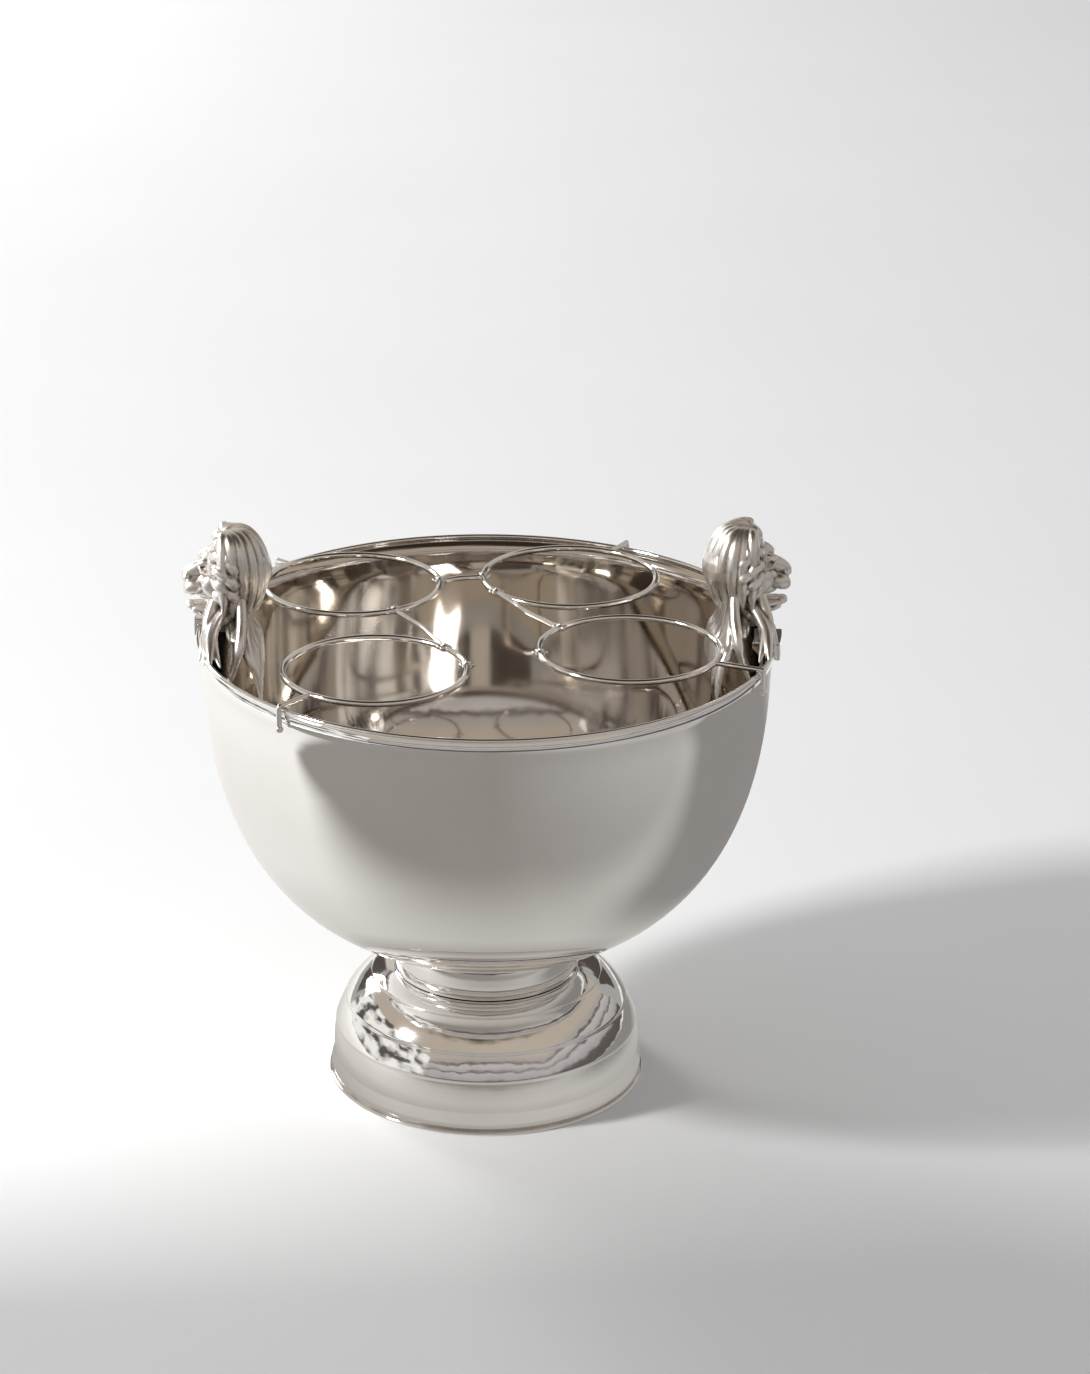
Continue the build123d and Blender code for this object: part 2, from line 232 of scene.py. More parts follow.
def make_turned_silver(name):
    """Plate over turned work: fine lines run round it, and the polish is less even."""
    material, tree, shader = new_material(name)
    smears = noise(tree, object_coordinates(tree, (12, 12, 20)), 1.0, 6.0)
    colour = tint(tree, smears, (0.3, (0.86, 0.835, 0.80)), (0.75, (0.95, 0.94, 0.925)))
    tree.links.new(colour, shader.inputs["Base Color"])
    tree.links.new(spread(tree, smears, 0.03, 0.11), shader.inputs["Roughness"])
    radius = tree.nodes.new("ShaderNodeVectorMath")
    radius.operation = "LENGTH"
    tree.links.new(object_coordinates(tree, (1, 1, 0)), radius.inputs[0])
    height = tree.nodes.new("ShaderNodeSeparateXYZ")
    tree.links.new(object_coordinates(tree), height.inputs["Vector"])
    profile = tree.nodes.new("ShaderNodeCombineXYZ")
    tree.links.new(radius.outputs["Value"], profile.inputs["X"])
    tree.links.new(height.outputs["Z"], profile.inputs["Y"])
    lines = noise(tree, profile.outputs["Vector"], 420.0, 2.0)
    dents = noise(tree, object_coordinates(tree), 34.0, 2.0)
    both = tree.nodes.new("ShaderNodeMath")
    both.operation = "MULTIPLY_ADD"
    both.inputs[1].default_value = LINE_SHARE
    tree.links.new(lines, both.inputs[0])
    tree.links.new(dents, both.inputs[2])
    raise_surface(tree, shader, both.outputs["Value"], 0.35, 0.0012)
    return material


# %% Cast silver and fixings
def make_cast_silver(name):
    """Plate over a casting: bright on what stands out, dark brown in the recesses."""
    material, tree, shader = new_material(name)
    geometry = tree.nodes.new("ShaderNodeNewGeometry")
    hollow = spread(tree, geometry.outputs["Pointiness"], 0.0, 1.0, 0.455, 0.53)
    colour = tint(
        tree,
        hollow,
        (0.0, (0.10, 0.075, 0.055)),
        (0.35, (0.42, 0.37, 0.32)),
        (0.6, (0.80, 0.76, 0.71)),
        (0.9, (0.94, 0.93, 0.91)),
    )
    tree.links.new(colour, shader.inputs["Base Color"])
    tree.links.new(spread(tree, hollow, 0.55, 0.34, 0.0, 0.6), shader.inputs["Roughness"])
    grain = noise(tree, object_coordinates(tree), 380.0, 4.0)
    raise_surface(tree, shader, grain, 0.25, 0.0003)
    return material


def make_fixing(name, colour):
    """Plain machined metal with fine lines round it."""
    material, tree, shader = new_material(name)
    lines = noise(tree, object_coordinates(tree, (60, 60, 900)), 1.0, 3.0)
    dull = tuple(channel * 0.8 for channel in colour)
    tree.links.new(tint(tree, lines, (0.3, dull), (0.7, colour)), shader.inputs["Base Color"])
    tree.links.new(spread(tree, lines, 0.25, 0.42), shader.inputs["Roughness"])
    raise_surface(tree, shader, lines, 0.15, 0.0002)
    return material


cast_silver = make_cast_silver("cast_silver")
fixing_steel = make_fixing("fixing_steel", (0.56, 0.56, 0.57))
fixing_brass = make_fixing("fixing_brass", (0.72, 0.56, 0.30))
polished_silver = make_polished_silver("polished_silver", 0.10, 0.055)
# The inside of the bowl is the same plate in a darker, warmer colour: painted shade.
shaded_inner_silver = make_polished_silver("shaded_inner_silver", 0.14, 0.10, (0.66, 0.61, 0.55), (0.80, 0.76, 0.71))
turned_silver = make_turned_silver("turned_silver")
wire_silver = make_polished_silver("wire_silver", 0.25, 0.14)
print("finishes so far:", [material.name for material in bpy.data.materials])

# %% [markdown]
# ## Floor, light and what the silver reflects
# Polished silver has no colour of its own, so it is drawn by its surroundings. The floor is
# pale. One soft light stands low at the left, so the shadow falls to the right, and a flag of
# gauze keeps most of it off the front of the table. The room that only the silver sees is made
# of cards that glow: a ceiling, four walls and the top of the table.


# %% Stage
def plain_material(name, colour, roughness=0.9):
    """A matt surface for the stage, with a little unevenness."""
    material, tree, shader = new_material(name)
    shader.inputs["Metallic"].default_value = 0.0
    shader.inputs["Roughness"].default_value = roughness
    shader.inputs["Specular IOR Level"].default_value = 0.0
    mottle = noise(tree, object_coordinates(tree), 3.0)
    low = tuple(channel * 0.985 for channel in colour)
    tree.links.new(tint(tree, mottle, (0.3, low), (0.7, colour)), shader.inputs["Base Color"])
    return material


def add_card(name, location, size, direction, material):
    """A flat card facing a direction."""
    clear_selection()
    bpy.ops.mesh.primitive_plane_add(size=1.0)
    card = bpy.context.object
    card.name = name
    card.scale = (size[0], size[1], 1)
    bpy.ops.object.transform_apply(location=True, rotation=True, scale=True)
    card.location = location
    card.rotation_euler = Vector(direction).to_track_quat("Z", "Y").to_euler()
    bpy.ops.object.transform_apply(location=True, rotation=True, scale=True)
    card.data.materials.append(material)
    return card


def only_mirrored(card):
    """Leaves a card to be seen in the silver alone."""
    card.visible_camera = False
    card.visible_diffuse = False
    card.visible_shadow = False


def arithmetic(tree, operation, first, second):
    """A Math node on two sockets or numbers."""
    node = tree.nodes.new("ShaderNodeMath")
    node.operation = operation
    for socket, value in zip(node.inputs, (first, second)):
        if isinstance(value, (int, float)):
            socket.default_value = value
        else:
            tree.links.new(value, socket)
    return node.outputs["Value"]


def soft_step(tree, value, start, end):
    """0 before start, 1 after end, and a smooth change between them."""
    node = tree.nodes.new("ShaderNodeMapRange")
    node.interpolation_type = "SMOOTHSTEP"
    node.inputs["From Min"].default_value = start
    node.inputs["From Max"].default_value = end
    tree.links.new(value, node.inputs["Value"])
    return node.outputs["Result"]


def glow_material(name):
    """A card's own brightness. Returns the material, its tree, its shader and its x, y and z."""
    material = bpy.data.materials.new(name)
    material.use_nodes = True
    tree = material.node_tree
    tree.nodes.remove(tree.nodes["Principled BSDF"])
    glow = tree.nodes.new("ShaderNodeEmission")
    tree.links.new(glow.outputs["Emission"], tree.nodes["Material Output"].inputs["Surface"])
    place = tree.nodes.new("ShaderNodeSeparateXYZ")
    tree.links.new(object_coordinates(tree), place.inputs["Vector"])
    return material, tree, glow, place.outputs


def mixed(tree, factor, first, second):
    """A colour between two, each a socket or three numbers."""
    node = tree.nodes.new("ShaderNodeMix")
    node.data_type = "RGBA"
    tree.links.new(factor, node.inputs["Factor"])
    for socket, value in ((node.inputs["A"], first), (node.inputs["B"], second)):
        if isinstance(value, tuple):
            socket.default_value = (*value, 1)
        else:
            tree.links.new(value, socket)
    return node.outputs["Result"]


def distance_round_axis(tree):
    """How far a point is from the bucket's axis."""
    length = tree.nodes.new("ShaderNodeVectorMath")
    length.operation = "LENGTH"
    tree.links.new(object_coordinates(tree, (1, 1, 0)), length.inputs[0])
    return length.outputs["Value"]


def let_light_through(material, share):
    """Makes a card pass a share of the light that falls on it, as gauze does."""
    tree = material.node_tree
    surface = tree.nodes["Material Output"].inputs["Surface"]
    gauze = tree.nodes.new("ShaderNodeMixShader")
    gauze.inputs["Fac"].default_value = share
    weave = tree.nodes.new("ShaderNodeBsdfTransparent")
    tree.links.new(surface.links[0].from_socket, gauze.inputs[1])
    tree.links.new(weave.outputs["BSDF"], gauze.inputs[2])
    tree.links.new(gauze.outputs["Shader"], surface)


FLAG_PASSES = 0.28
floor_white = plain_material("floor_white", (0.90, 0.90, 0.90))
flag_dark = plain_material("flag_dark", (0.08, 0.07, 0.06))
let_light_through(flag_dark, FLAG_PASSES)
add_card("floor", (0, 0, 0), (40, 40), (0, 0, 1), floor_white)
flag = add_card("flag", (-1.2, -1.91, 0.8), (3.0, 1.6), (-1, 0, 0), flag_dark)
flag.visible_camera = False
flag.visible_glossy = False

# %% Ceiling and walls
WALL_WIDTH = 9
WALL_HEIGHT = 2.9
FRONT_WALL_Y, BACK_WALL_Y = -4.2, 5.6
LEFT_WALL_X, RIGHT_WALL_X = -4.4, 4.0
BACK_WALL_FOOT = 0.8

ceiling_glow, tree, glow, _ = glow_material("ceiling_glow")
patches = arithmetic(tree, "MULTIPLY", noise(tree, object_coordinates(tree, (1, 1, 0)), 1.1), 1.6)
reach = arithmetic(tree, "ADD", distance_round_axis(tree), patches)
ceiling_shade = tint(
    tree,
    soft_step(tree, reach, 2.2, 3.4),
    (0.0, (0.035, 0.028, 0.022)),
    (0.5, (0.16, 0.13, 0.105)),
    (1.0, (0.48, 0.42, 0.355)),
)
tree.links.new(ceiling_shade, glow.inputs["Color"])
ceiling_size = (WALL_WIDTH, WALL_WIDTH)
only_mirrored(add_card("ceiling", (0, 0, WALL_HEIGHT), ceiling_size, (0, 0, -1), ceiling_glow))

wall_glow, tree, glow, place = glow_material("wall_glow")
wobble = arithmetic(tree, "MULTIPLY", noise(tree, object_coordinates(tree), 1.7, 4.0), 0.5)
height = arithmetic(tree, "ADD", place["Z"], wobble)
wall_shade = tint(
    tree,
    spread(tree, height, 0.0, 1.0, 0.0, 3.5),
    (0.0, (0.09, 0.08, 0.075)),
    (0.24, (0.12, 0.11, 0.105)),
    (0.28, (0.38, 0.36, 0.365)),
    (0.44, (0.50, 0.475, 0.475)),
    (0.47, (0.13, 0.115, 0.11)),
    (0.53, (0.44, 0.42, 0.42)),
    (0.66, (0.54, 0.51, 0.50)),
    (0.70, (0.10, 0.09, 0.085)),
    (0.76, (0.40, 0.37, 0.35)),
    (1.0, (0.48, 0.43, 0.38)),
)
tree.links.new(wall_shade, glow.inputs["Color"])
wall_size = (WALL_WIDTH, WALL_HEIGHT)
halfway_up = WALL_HEIGHT / 2
only_mirrored(add_card("room_front", (0, FRONT_WALL_Y, halfway_up), wall_size, (0, 1, 0), wall_glow))
right_wall_size = (WALL_WIDTH - 1, WALL_HEIGHT)
right_wall_place = (RIGHT_WALL_X, -0.5, halfway_up)
only_mirrored(add_card("room_right", right_wall_place, right_wall_size, (-1, 0, 0), wall_glow))

window_glow, tree, glow, _ = glow_material("window_glow")
leaves = noise(tree, object_coordinates(tree, (1, 1, 1.6)), 0.9, 2.0)
window_shade = tint(
    tree, leaves, (0.40, (0.10, 0.09, 0.085)), (0.47, (0.62, 0.61, 0.60)), (0.56, (0.95, 0.94, 0.92))
)
tree.links.new(window_shade, glow.inputs["Color"])
only_mirrored(add_card("room_left", (LEFT_WALL_X, 0.5, halfway_up), wall_size, (1, 0, 0), window_glow))

back_glow, tree, glow, place = glow_material("back_glow")
panel = arithmetic(
    tree,
    "MULTIPLY",
    soft_step(tree, place["X"], -1.3, -1.1),
    soft_step(tree, arithmetic(tree, "MULTIPLY", place["X"], -1.0), -0.5, -0.3),
)
back_shade = mixed(tree, panel, (0.085, 0.07, 0.06), (0.62, 0.58, 0.53))
tree.links.new(back_shade, glow.inputs["Color"])
back_wall_size = (WALL_WIDTH, WALL_HEIGHT - BACK_WALL_FOOT)
back_wall_place = (0, BACK_WALL_Y, (WALL_HEIGHT + BACK_WALL_FOOT) / 2)
only_mirrored(add_card("room_back", back_wall_place, back_wall_size, (0, -1, 0), back_glow))

# %% What the silver sees on the table: painted light and painted shadow
table_glow, tree, glow, place = glow_material("table_glow")
across, along = place["X"], place["Y"]
# The open table is painted light, darker next to the foot where the bucket shades it.
open_table = tint(
    tree,
    spread(tree, distance_round_axis(tree), 0.0, 1.0, 0.12, 1.0),
    (0.0, (0.42, 0.405, 0.385)),
    (0.06, (0.66, 0.64, 0.61)),
    (0.25, (0.84, 0.82, 0.79)),
    (1.0, (1.03, 1.01, 0.98)),
)
# The front of the table is painted shade, sharp at the left and softer towards the right.
softness = spread(tree, across, 0.05, 0.50, -0.9, 0.1)
edge = spread(tree, across, -0.18, 0.20, -0.6, 0.6)
depth = arithmetic(tree, "DIVIDE", arithmetic(tree, "SUBTRACT", edge, along), softness)
front = soft_step(tree, depth, 0.0, 1.0)
front_shade = tint(
    tree,
    spread(tree, across, 0.0, 1.0, -0.6, 0.9),
    (0.0, (0.31, 0.29, 0.27)),
    (0.40, (0.285, 0.265, 0.245)),
    (1.0, (0.47, 0.46, 0.445)),
)
# The bucket's own shadow on the table, to its right, is painted in.
beside = soft_step(tree, across, 0.08, 0.28)
behind = soft_step(tree, along, -0.25, -0.07)
before = soft_step(tree, arithmetic(tree, "MULTIPLY", along, -1.0), -1.1, -0.6)
shadow = arithmetic(tree, "MULTIPLY", arithmetic(tree, "MULTIPLY", beside, behind), before)
lit_or_front = mixed(tree, front, open_table, front_shade)
table_shade = mixed(tree, shadow, lit_or_front, (0.27, 0.26, 0.25))
tree.links.new(table_shade, glow.inputs["Color"])
only_mirrored(add_card("table_card", (0, -0.8, 0.001), (4.4, 6.0), (0, 0, 1), table_glow))


# %% Lights
def add_area_light(name, location, target, size, power):
    """A square soft light aimed at a point."""
    aim = Vector(target) - Vector(location)
    bpy.ops.object.light_add(
        type="AREA", location=location, rotation=aim.to_track_quat("-Z", "Y").to_euler()
    )
    light = bpy.context.object
    light.name = name
    light.data.shape = "SQUARE"
    light.data.size = size
    light.data.energy = power


KEY_POWER, FILL_POWER = 156, 126
DAYLIGHT = 0.4
bowl_middle = (0, 0, 0.3)
floor_behind = (0, 3.6, 0)
add_area_light("left_softbox", (-3.4, -0.8, 2.5), bowl_middle, 0.6, KEY_POWER)
add_area_light("back_softbox", (-3.0, 4.6, 2.6), floor_behind, 2.0, FILL_POWER)
world = bpy.data.worlds.new("studio")
bpy.context.scene.world = world
world.use_nodes = True
backdrop = world.node_tree.nodes["Background"]
backdrop.inputs["Color"].default_value = (1.0, 1.0, 1.0, 1)
backdrop.inputs["Strength"].default_value = DAYLIGHT
bpy.context.scene.view_settings.view_transform = "Standard"

# %% [markdown]
# ## The bowl
# The outline is a superellipse: rounder than a box, fuller than a ball. The top few
# centimetres turn out a little. It is drawn once, from the lowest point to the rim, spun, and
# given the thickness of the sheet.

# %% Bowl
BOWL_FULLNESS = 2.5
RIM_FLARE = 3.5 * MM
FLARE_HEIGHT = 26 * MM
SHEET = 1.6 * MM
OUTLINE_STEPS = 72
ROUND_STEPS = 192

bowl_low, bowl_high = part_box("bowl")
bowl_depth = bowl_high.z - bowl_low.z
bowl_radius = bowl_high.x - RIM_FLARE


def bowl_point(angle):
    """A point of the bowl's outline: angle 0 is the lowest point, a quarter turn the rim."""
    radius = bowl_radius * sin(angle) ** (2 / BOWL_FULLNESS)
    height = bowl_high.z - bowl_depth * cos(angle) ** (2 / BOWL_FULLNESS)
    rise = max(0.0, (height - bowl_high.z + FLARE_HEIGHT) / FLARE_HEIGHT)
    return (radius + RIM_FLARE * rise**2, 0, height)


quarter = [pi / 2 * step / OUTLINE_STEPS for step in range(OUTLINE_STEPS)]
bowl = draw_outline("bowl_shell", [bowl_point(angle) for angle in quarter + [pi / 2 - 1e-9]])
spin_round(bowl, ROUND_STEPS)
add_modifier(bowl, "SOLIDIFY", thickness=SHEET, offset=-1.0)
dress(bowl, polished_silver, "bucket", "polished_silver", "bowl")
bowl.data.materials.append(shaded_inner_silver)
bowl_heart = Vector((0, 0, bowl_high.z))
# Faces that look into the bowl take the darker copy, whose colour paints the shade inside it.
for polygon in bowl.data.polygons:
    if polygon.normal.dot(polygon.center - bowl_heart) < 0:
        polygon.material_index = 1

# %% Rim wire
bead_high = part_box("rim_bead")[1]
bead_radius = (bead_high.x - bowl_high.x + SHEET / 2) * 0.98
bead_centre = (bead_high.x - bead_radius, 0, bead_high.z - bead_radius)


def spin_wire(name, centre, wire_radius, round_centre, steps=160, sides=14):
    """A closed wire: a small circle drawn upright and spun round a centre."""
    clear_selection()
    bpy.ops.mesh.primitive_circle_add(
        vertices=sides, radius=wire_radius, location=centre, rotation=(pi / 2, 0, 0)
    )
    piece = bpy.context.object
    piece.name = name
    bpy.ops.object.transform_apply(location=True, rotation=True, scale=True)
    bpy.ops.object.mode_set(mode="EDIT")
    spin_round(piece, steps, round_centre)
    return piece


rim = spin_wire("rim_wire", bead_centre, bead_radius, (0, 0, 0), steps=ROUND_STEPS)
dress(rim, polished_silver, "bucket", "polished_silver", "rim_bead")

# %% [markdown]
# ## Collar, foot and the wire it rests on
# The foot is a dome with fine turned steps. Each step is a short ledge, so its outline is
# drawn in stretches that stand a little further out the nearer they are to the collar. The
# last stretch draws in a little towards the lip, and the lip slopes out again below it.

# %% Collar
collar_low, collar_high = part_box("collar")
COLLAR_WALL = 2.5 * MM
COLLAR_EDGE = 1.2 * MM
collar_radius = collar_high.x
collar_middle = (collar_high.z + collar_low.z) / 2
collar = draw_outline(
    "collar_band",
    [
        (collar_radius - COLLAR_EDGE, 0, collar_high.z),
        (collar_radius, 0, collar_high.z - COLLAR_EDGE),
        (collar_radius, 0, collar_middle + 2 * MM),
        (collar_radius, 0, collar_middle - 2 * MM),
        (collar_radius, 0, collar_low.z + COLLAR_EDGE),
        (collar_radius - COLLAR_EDGE, 0, collar_low.z),
    ],
)
spin_round(collar, ROUND_STEPS)
add_modifier(collar, "SOLIDIFY", thickness=COLLAR_WALL, offset=-1.0)
dress(collar, turned_silver, "bucket", "turned_silver", "collar")

# %% Foot
FOOT_FULLNESS = 1.9
FOOT_STEP = 0.8 * MM
FOOT_LIP = 16.8 * MM
FOOT_STEPS = (0.0, 21.0, 49.0, 67.0, 90.0)      # degrees down the dome, from the collar
LIP_SLOPE = 2.6 * MM
LIP_EDGE = 0.55 * FOOT_LIP    # below this height the lip is upright
TREAD_POINTS = 14

foot_low, foot_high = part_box("foot")
foot_width = foot_high.x - collar_radius
foot_rise = foot_high.z - FOOT_LIP - FOOT_STEP * (len(FOOT_STEPS) - 2)


def foot_point(angle, outset):
    """A point of the foot's outline: angle 0 is at the collar, a quarter turn at the lip."""
    across = sin(radians(angle)) ** (2 / FOOT_FULLNESS)
    up = max(cos(radians(angle)), 0) ** (2 / FOOT_FULLNESS)
    return (collar_radius + (foot_width + outset) * across, 0, FOOT_LIP + (foot_rise + outset) * up)


foot_outline = [(MM, 0, foot_high.z), (collar_radius - 3 * MM, 0, foot_high.z)]
for number in range(len(FOOT_STEPS) - 1):
    start, end = FOOT_STEPS[number], FOOT_STEPS[number + 1]
    outset = FOOT_STEP * (len(FOOT_STEPS) - 2 - number)
    draw_in = LIP_SLOPE if end == FOOT_STEPS[-1] else 0.0
    shares = [point / TREAD_POINTS for point in range(TREAD_POINTS + 1)]
    foot_outline += [
        foot_point(start + (end - start) * share, outset - draw_in * share) for share in shares
    ]
foot_outline += [(foot_high.x, 0, LIP_EDGE), (foot_high.x, 0, foot_low.z)]
foot = draw_outline("foot_dome", foot_outline)
spin_round(foot, ROUND_STEPS)
add_modifier(foot, "BEVEL", width=0.25 * MM, segments=2, limit_method="ANGLE", angle_limit=radians(40))
add_modifier(foot, "SOLIDIFY", thickness=SHEET, offset=-1.0)
dress(foot, turned_silver, "bucket", "turned_silver", "foot")

# %% Foot wire
wire_low, wire_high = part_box("foot_wire")
EDGE = 0.8 * MM
wire_inner = foot_high.x - 1.6 * MM
foot_wire = draw_outline(
    "foot_edge_wire",
    [
        (wire_inner, 0, wire_low.z),
        (wire_high.x - EDGE, 0, wire_low.z),
        (wire_high.x - EDGE * 0.3, 0, wire_low.z + EDGE * 0.3),
        (wire_high.x, 0, wire_low.z + EDGE),
        (wire_high.x, 0, wire_high.z - EDGE),
        (wire_high.x - EDGE * 0.3, 0, wire_high.z - EDGE * 0.3),
        (wire_high.x - EDGE, 0, wire_high.z),
        (wire_inner, 0, wire_high.z),
        (wire_inner, 0, wire_low.z),
    ],
)
spin_round(foot_wire, ROUND_STEPS)
dress(foot_wire, turned_silver, "bucket", "turned_silver", "foot_wire")

# %% [markdown]
# ## The bottle rack
# Four rings of plated wire hold the bottles apart. Each has a hook that runs out over the rim
# and ends in a small ball. Where two rings face each other a cast flower grips the wire, and
# a bowed link joins the flowers. A wire is drawn as a path with a round section, and a path
# can also swell and taper, which the casting needs later.


# %% Strand helper
def pull_strand(name, points, radii, sides=4):
    """A smooth rod through the points, as thick at each as its radius, closed at both ends."""
    clear_selection()
    bpy.ops.curve.primitive_nurbs_path_add(location=(0, 0, 0))
    strand = bpy.context.object
    strand.name = name
    curve = strand.data
    curve.splines.clear()
    spline = curve.splines.new("NURBS")
    spline.points.add(len(points) - 1)
    for knot, place, radius in zip(spline.points, points, radii):
        knot.co = (*place, 1)
        knot.radius = radius
    spline.order_u = 3
    spline.use_endpoint_u = True
    spline.resolution_u = 8
    curve.bevel_depth = 1.0
    curve.bevel_resolution = sides
    curve.use_fill_caps = True
    bpy.ops.object.convert(target="MESH")
    strand = bpy.context.object
    bpy.ops.object.shade_smooth()
    return strand


def add_ball(name, centre, radii, turn=(0, 0, 0), segments=20, rings=12):
    """A smooth ball, stretched to three radii, with its place in its mesh."""
    clear_selection()
    bpy.ops.mesh.primitive_uv_sphere_add(
        segments=segments, ring_count=rings, radius=1, location=centre, rotation=turn
    )
    ball = bpy.context.object
    ball.name = name
    ball.scale = radii
    bpy.ops.object.transform_apply(location=True, rotation=True, scale=True)
    bpy.ops.object.shade_smooth()
    return ball


def join_pieces(name, pieces):
    """Joins pieces into the first one."""
    clear_selection()
    for piece in pieces:
        piece.select_set(True)
    bpy.context.view_layer.objects.active = pieces[0]
    bpy.ops.object.join()
    pieces[0].name = name
    return pieces[0]


def middle_of(low, high):
    """The middle of a box."""
    return (low + high) / 2


# %% Rings and hooks
PLACES = ("front_left", "front_right", "back_right", "back_left")
RING_STEPS = 96
HOOK_WIRE = 2.2 * MM
HOOK_BEND = 3 * MM
TIP_RADIUS = 3.1 * MM

for place in PLACES:
    ring_low, ring_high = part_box(f"ring_{place}")
    wire = (ring_high.z - ring_low.z) / 2
    centre = middle_of(ring_low, ring_high)
    reach = (ring_high.x - ring_low.x) / 2 - wire
    start = centre + Vector((reach, 0, 0))
    ring = spin_wire(f"bottle_ring_{place}", start, wire, centre, steps=RING_STEPS)
    dress(ring, wire_silver, "rack", "wire_silver", f"ring_{place}")

    tip_low, tip_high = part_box(f"tip_{place}")
    tip_centre = middle_of(tip_low, tip_high)
    leg = Vector((tip_centre.x, tip_centre.y, centre.z))
    outward = Vector((centre.x, centre.y, 0)).normalized()
    route = [
        centre + outward * reach,
        leg - outward * 4 * HOOK_BEND,
        leg - outward * HOOK_BEND,
        leg,
        leg - Vector((0, 0, HOOK_BEND)),
        leg - Vector((0, 0, 2.5 * HOOK_BEND)),
        tip_centre,
    ]
    hook = pull_strand(f"rim_hook_{place}", route, [HOOK_WIRE] * len(route))
    dress(hook, wire_silver, "rack", "wire_silver", f"hook_{place}")
    tip = add_ball(f"hook_ball_{place}", tip_centre, [TIP_RADIUS] * 3)
    dress(tip, wire_silver, "rack", "wire_silver", f"tip_{place}")


# %% Flowers on the rings
def make_flower(name, centre, size):
    """A small cast flower: a round heart with six petals round it and a small button on top."""
    parts = [add_ball(name, centre, [size * 0.62] * 3)]
    for number in range(6):
        turn = number * pi / 3
        spot = centre + Vector((cos(turn), sin(turn), 0.15)) * size * 0.72
        radii = (size * 0.42, size * 0.27, size * 0.36)
        parts.append(add_ball("petal", spot, radii, (0, 0, turn), 12, 8))
    parts.append(add_ball("button", centre + Vector((0, 0, size * 0.5)), [size * 0.3] * 3))
    return join_pieces(name, parts)


for place in PLACES:
    for hand in ("a", "b"):
        node = f"clasp_{place}_{hand}"
        low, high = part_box(node)
        flower = make_flower(f"flower_{place}_{hand}", middle_of(low, high), high.z - centre.z)
        dress(flower, wire_silver, "rack", "cast_silver", node)

# %% Links
LINK_RADII = [2.4 * MM, 1.8 * MM, 2.6 * MM, 1.8 * MM, 2.4 * MM]

for node, first, second in (
    ("link_left", "clasp_back_left_a", "clasp_front_left_a"),
    ("link_back", "clasp_back_left_b", "clasp_back_right_a"),
    ("link_right", "clasp_back_right_b", "clasp_front_right_a"),
):
    start = middle_of(*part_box(first))
    end = middle_of(*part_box(second))
    low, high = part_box(node)
    bow = middle_of(low, high)
    route = [start, start + (bow - start) * 0.55, bow, end + (bow - end) * 0.55, end]
    link = pull_strand(f"rack_{node}", route, LINK_RADII)
    dress(link, wire_silver, "rack", "wire_silver", node)

# %% [markdown]
# ## The lion's heads
# The heads are castings. A caster's model is built up from lumps of wax: a skull, brows,
# cheeks, the two pads of the muzzle, and then the mane lock by lock. The same is done here
# with balls and tapered strands. A voxel remesh melts them into one skin, and a light
# smoothing rounds it as polishing does. One head is made for the +X side. The other is a copy
# turned half way round.

# %% Head helpers
head_low, head_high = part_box("head_right")
skull_middle = Vector((head_low.x + 15 * MM, 0, head_high.z - 24 * MM))


def on_head(x, y, z):
    """A place given in millimetres from the middle of the skull: x out, y aside, z up."""
    return skull_middle + Vector((x, y, z)) * MM


def lump(centre, radii, turn=(0, 0, 0)):
    """A ball of wax on the head, in millimetres and degrees."""
    size = [radius * MM for radius in radii]
    angles = [radians(angle) for angle in turn]
    return add_ball("lump", on_head(*centre), size, angles, 24, 14)


def both_sides(centre, radii, turn=(0, 0, 0)):
    """The same lump on the left and on the right of the face."""
    x, y, z = centre
    return [lump((x, y, z), radii, turn), lump((x, -y, z), radii, (-turn[0], turn[1], -turn[2]))]


def lock(points, radii):
    """A lock of hair through places on the head, in millimetres."""
    return pull_strand("lock", [on_head(*point) for point in points], [r * MM for r in radii], 3)


def melt(name, parts, voxel, smoothing):
    """Joins the parts and remeshes them into one smooth closed skin."""
    piece = join_pieces(name, parts)
    add_modifier(piece, "REMESH", mode="VOXEL", voxel_size=voxel * MM, use_smooth_shade=True)
    add_modifier(piece, "SMOOTH", factor=0.5, iterations=smoothing)
    return piece


def carve(piece, cutters):
    """Cuts the cutters out of a piece."""
    cutter = join_pieces("cutter", cutters)
    add_modifier(piece, "BOOLEAN", operation="DIFFERENCE", object=cutter, solver="EXACT")
    bpy.data.objects.remove(cutter)


# %% Face
face_parts = [
    lump((-3, 0, 1), (23, 21, 21)),
    lump((20, 0, 2), (15, 5.5, 6.5), (0, 24, 0)),
    lump((30, 0, -4), (4.2, 6.2, 3.6), (0, 20, 0)),
    lump((12, 0, 13), (9, 8, 6), (0, 30, 0)),
    lump((10, 0, -16), (14, 11, 7)),
]
face_parts += both_sides((14.5, 8.5, 10.0), (7.5, 6.0, 3.6), (18, 10, 20))
face_parts += both_sides((16.0, 13.5, -1.2), (5.5, 5.0, 2.6), (0, 20, 15))
face_parts += both_sides((8.0, 17.0, -6.0), (10, 6.5, 10), (0, 15, 10))
face_parts += both_sides((24.5, 6.2, -10.5), (9.0, 6.8, 6.4), (0, 22, 0))
face_parts += both_sides((-2.0, 21.0, 17.0), (4.6, 6.6, 8.0), (35, 0, 10))
face = melt("lion_face_right", face_parts, 0.75, 4)
carve(
    face,
    both_sides((32.8, 3.4, -6.0), (2.2, 1.5, 1.2))
    + both_sides((2.2, 23.0, 18.5), (4.4, 3.8, 5.0), (35, 0, 10))
    + both_sides((18.5, 12.0, 4.2), (3.6, 3.8, 3.0))
    + [lump((34.0, 0, -11.5), (3.5, 0.9, 5.5))],
)
